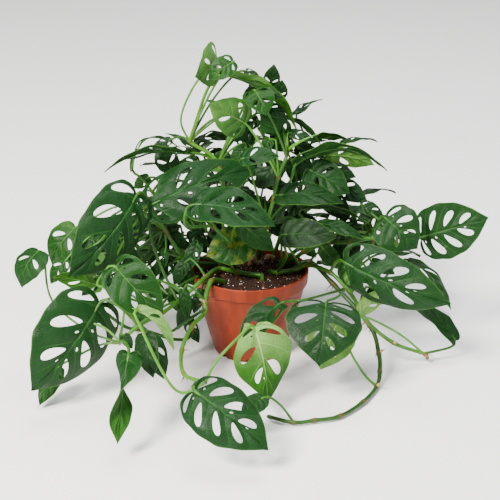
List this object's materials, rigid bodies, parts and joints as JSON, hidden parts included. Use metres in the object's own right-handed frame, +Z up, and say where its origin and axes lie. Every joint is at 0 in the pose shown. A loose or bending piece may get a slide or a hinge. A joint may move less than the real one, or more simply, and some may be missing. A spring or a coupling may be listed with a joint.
{
  "type": "potted monstera adansonii",
  "caption": "Potted swiss cheese vine with pierced heart-shaped leaves on arching and trailing stems, in a round tapered plastic nursery pot filled with soil.",
  "frame": {"origin": "centre of the pot's flat base, on the surface that it stands on", "axes": "+Z up along the pot's axis, +X to the right seen from the front, -Y towards the front, where the longest stems trail"},
  "size_m": [0.5804, 0.5642, 0.4081],
  "materials": {
    "terracotta_plastic": "moulded terracotta-coloured plastic, satin",
    "potting_soil": "damp potting soil with white grains",
    "dry_stem": "dry woody stem stub",
    "leaf_and_stem": "waxy green leaf and smooth stem"
  },
  "bodies": {
    "root": {"pot": "terracotta_plastic", "soil": "potting_soil", "stub_1": "dry_stem", "stub_2": "dry_stem", "trail_left": "leaf_and_stem", "left_arm": "leaf_and_stem", "upper_left": "leaf_and_stem", "top": "leaf_and_stem", "centre": "leaf_and_stem", "front_centre": "leaf_and_stem", "trail_right": "leaf_and_stem", "loop_right": "leaf_and_stem", "loop_left": "leaf_and_stem", "right_arm": "leaf_and_stem", "upper_right": "leaf_and_stem", "back_left": "leaf_and_stem", "back_centre": "leaf_and_stem", "back_right": "leaf_and_stem"}
  },
  "joints": []
}
